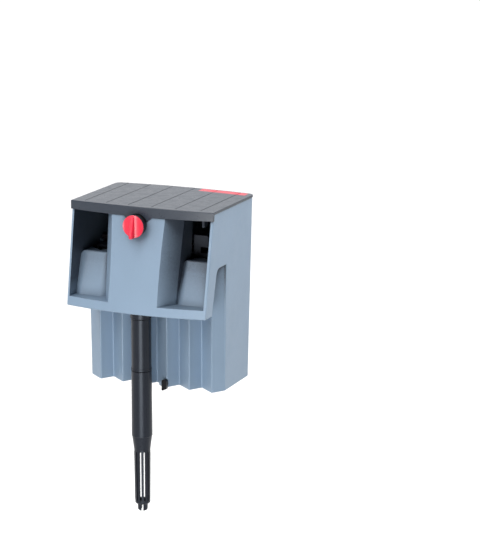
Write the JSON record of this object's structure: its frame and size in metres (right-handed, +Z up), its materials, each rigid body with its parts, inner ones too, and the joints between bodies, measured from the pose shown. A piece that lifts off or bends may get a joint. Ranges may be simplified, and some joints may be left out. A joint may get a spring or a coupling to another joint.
{
  "type": "hang on back filter",
  "caption": "Hang-on-back aquarium filter: ridged rear chamber, bridge over the tank rim, twin outlet windows, red flow knob and telescoped intake tube with strainer.",
  "frame": {"origin": "middle of the bridge's underside, on the seat that rests on the tank rim", "axes": "+X to the right as seen from inside the tank, +Y away from the tank, +Z up"},
  "size_m": [0.1512, 0.1252, 0.3032],
  "materials": {
    "casing": "fine moulded grain, satin",
    "lid_plastic": "fine moulded grain, satin",
    "knob_red": "semi-gloss",
    "black_plastic": "satin",
    "tube_plastic": "semi-gloss",
    "seal_rubber": "matt",
    "inner_plastic": "satin",
    "pump_plastic": "satin",
    "core_steel": "laminated",
    "winding_copper": "enamelled wire",
    "magnet": "sintered",
    "impeller_plastic": "satin",
    "shaft_ceramic": "polished",
    "cartridge_plastic": "satin",
    "filter_fleece": "needled fleece",
    "carbon_bag": "mesh bag over grains"
  },
  "bodies": {
    "housing": {"filter_housing": "casing", "knob_bezel": "black_plastic", "spindle_seal": "seal_rubber", "valve_body": "inner_plastic", "volute": "pump_plastic", "suction_duct": "pump_plastic", "volute_seal": "seal_rubber", "motor_housing": "pump_plastic", "stator_core": "core_steel", "stator_coils": "winding_copper", "impeller_shaft": "shaft_ceramic", "lower_shaft_bush": "seal_rubber", "upper_shaft_bush": "seal_rubber", "riser_tube": "inner_plastic", "pump_pads": "seal_rubber", "delivery_chute": "inner_plastic", "cartridge_rack": "inner_plastic", "cartridge_frame_left": "cartridge_plastic", "cartridge_frame_right": "cartridge_plastic", "filter_pad_left": "filter_fleece", "filter_pad_right": "filter_fleece", "carbon_insert_left": "carbon_bag", "carbon_insert_right": "carbon_bag", "cable_gland": "seal_rubber", "intake_collar": "tube_plastic", "intake_upper_tube": "tube_plastic"},
    "lid": {"lid": "lid_plastic"},
    "knob": {"flow_knob": "knob_red", "valve_spindle": "black_plastic", "throttle_gate": "inner_plastic"},
    "impeller": {"impeller": "impeller_plastic", "rotor_magnet": "magnet"},
    "intake_extension": {"intake_extension": "tube_plastic", "extension_o_ring": "seal_rubber"},
    "strainer": {"intake_strainer": "tube_plastic"},
    "levelling_spacer": {"levelling_spacer": "black_plastic"}
  },
  "joints": [
    {"name": "lid_lift", "type": "slide", "parent": "housing", "child": "lid", "axis": [0, 0, 1], "range_m": [0, 0.06]},
    {"name": "flow_knob_turn", "type": "hinge", "parent": "housing", "child": "knob", "pos_m": [0, -0.03, 0.0407], "axis": [0, 1, 0], "range_deg": [-90, 90]},
    {"name": "impeller_spin", "type": "hinge", "parent": "housing", "child": "impeller", "pos_m": [0, -0.0342, -0.0385], "axis": [0, 0.2164, 0.9763], "continuous": true},
    {"name": "extension_pull", "type": "slide", "parent": "housing", "child": "intake_extension", "axis": [0, 0, -1], "range_m": [0, 0.03]},
    {"name": "strainer_pull", "type": "slide", "parent": "intake_extension", "child": "strainer", "axis": [0, 0, -1], "range_m": [0, 0.02]},
    {"name": "spacer_slide", "type": "slide", "parent": "housing", "child": "levelling_spacer", "axis": [0, -1, 0], "range_m": [0, 0.008]}
  ]
}
